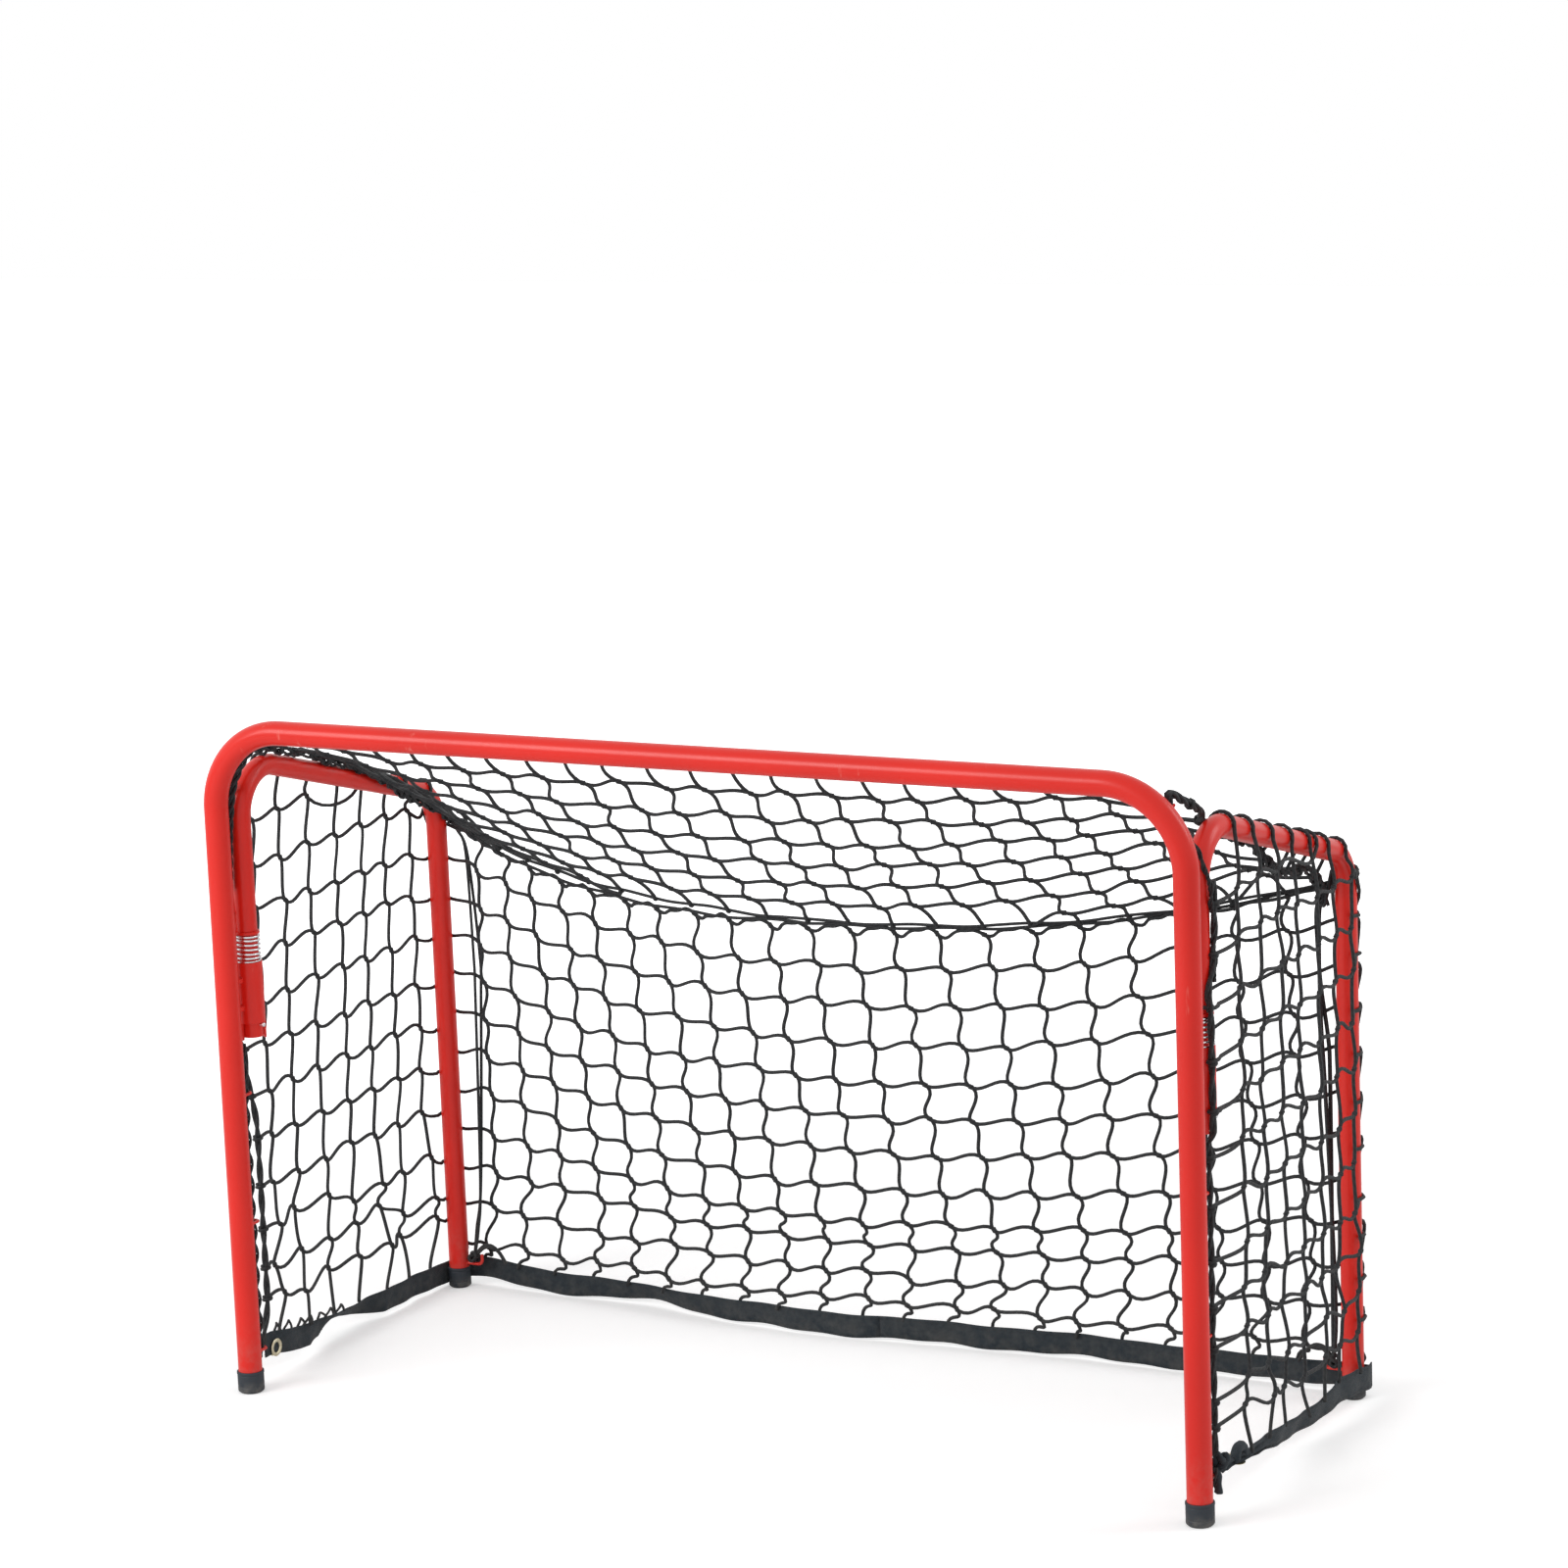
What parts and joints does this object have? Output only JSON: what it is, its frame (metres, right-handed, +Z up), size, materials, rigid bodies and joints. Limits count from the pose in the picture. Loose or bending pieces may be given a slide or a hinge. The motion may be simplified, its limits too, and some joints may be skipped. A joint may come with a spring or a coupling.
{
  "type": "folding soccer goal",
  "caption": "Folding soccer goal: bent steel front frame, sprung swivelling side frames, box net and hem band.",
  "frame": {"origin": "on the floor, in the middle of the goal's outline", "axes": "+X to the right as a player facing the goal sees it, +Y from the mouth back into the net, +Z up"},
  "size_m": [1.233, 0.486, 0.8],
  "materials": {
    "red_paint": "gloss powder coat",
    "black_rubber": "matt",
    "bright_zinc": "bright zinc plate",
    "pale_brass": "plated",
    "black_cord": "twisted cord",
    "black_tape": "woven tape"
  },
  "bodies": {
    "front_frame": {"front_frame_tube": "red_paint", "crossbar_rope": "black_cord", "top_net": "black_cord", "back_net": "black_cord", "back_rope": "black_cord", "back_band": "black_tape", "crossbar_eye_1": "red_paint", "crossbar_eye_2": "red_paint", "crossbar_eye_3": "red_paint", "crossbar_eye_4": "red_paint", "crossbar_eye_5": "red_paint", "left_front_foot": "black_rubber", "left_hinge_sleeve": "red_paint", "left_upper_lug": "red_paint", "left_lower_lug": "red_paint", "left_post_eye_1": "red_paint", "left_post_eye_2": "red_paint", "left_post_eye_3": "red_paint", "left_bend_eye": "red_paint", "left_post_rope": "black_cord", "left_band_tie": "black_cord", "right_front_foot": "black_rubber", "right_hinge_sleeve": "red_paint", "right_upper_lug": "red_paint", "right_lower_lug": "red_paint", "right_post_eye_1": "red_paint", "right_post_eye_2": "red_paint", "right_post_eye_3": "red_paint", "right_bend_eye": "red_paint", "right_post_rope": "black_cord", "right_band_tie": "black_cord"},
    "left_swivel": {"left_spring_washer": "bright_zinc", "left_hinge_spring": "bright_zinc"},
    "right_swivel": {"right_spring_washer": "bright_zinc", "right_hinge_spring": "bright_zinc"},
    "left_side_frame": {"left_side_tube": "red_paint", "left_stop_pin": "bright_zinc", "left_spring_collar": "red_paint", "left_rear_foot": "black_rubber", "left_rear_hook": "red_paint", "left_side_net": "black_cord", "left_rail_rope": "black_cord", "left_corner_rope": "black_cord", "left_side_band": "black_tape", "left_band_eyelet": "pale_brass"},
    "right_side_frame": {"right_side_tube": "red_paint", "right_stop_pin": "bright_zinc", "right_spring_collar": "red_paint", "right_rear_foot": "black_rubber", "right_rear_hook": "red_paint", "right_side_net": "black_cord", "right_rail_rope": "black_cord", "right_corner_rope": "black_cord", "right_side_band": "black_tape", "right_band_eyelet": "pale_brass"}
  },
  "joints": [
    {"name": "left_fold", "type": "hinge", "parent": "front_frame", "child": "left_swivel", "pos_m": [-0.596, -0.1895, 0.46], "axis": [0, 0, -1], "range_deg": [0, 90]},
    {"name": "left_release", "type": "slide", "parent": "left_swivel", "child": "left_side_frame", "axis": [0, 0, -1], "range_m": [0, 0.008], "stiffness_N_per_m": 2500, "springref_m": -0.008, "deforming": ["left_hinge_spring"]},
    {"name": "right_fold", "type": "hinge", "parent": "front_frame", "child": "right_swivel", "pos_m": [0.596, -0.1895, 0.46], "axis": [0, 0, 1], "range_deg": [0, 90]},
    {"name": "right_release", "type": "slide", "parent": "right_swivel", "child": "right_side_frame", "axis": [0, 0, -1], "range_m": [0, 0.008], "stiffness_N_per_m": 2500, "springref_m": -0.008, "deforming": ["right_hinge_spring"]}
  ]
}
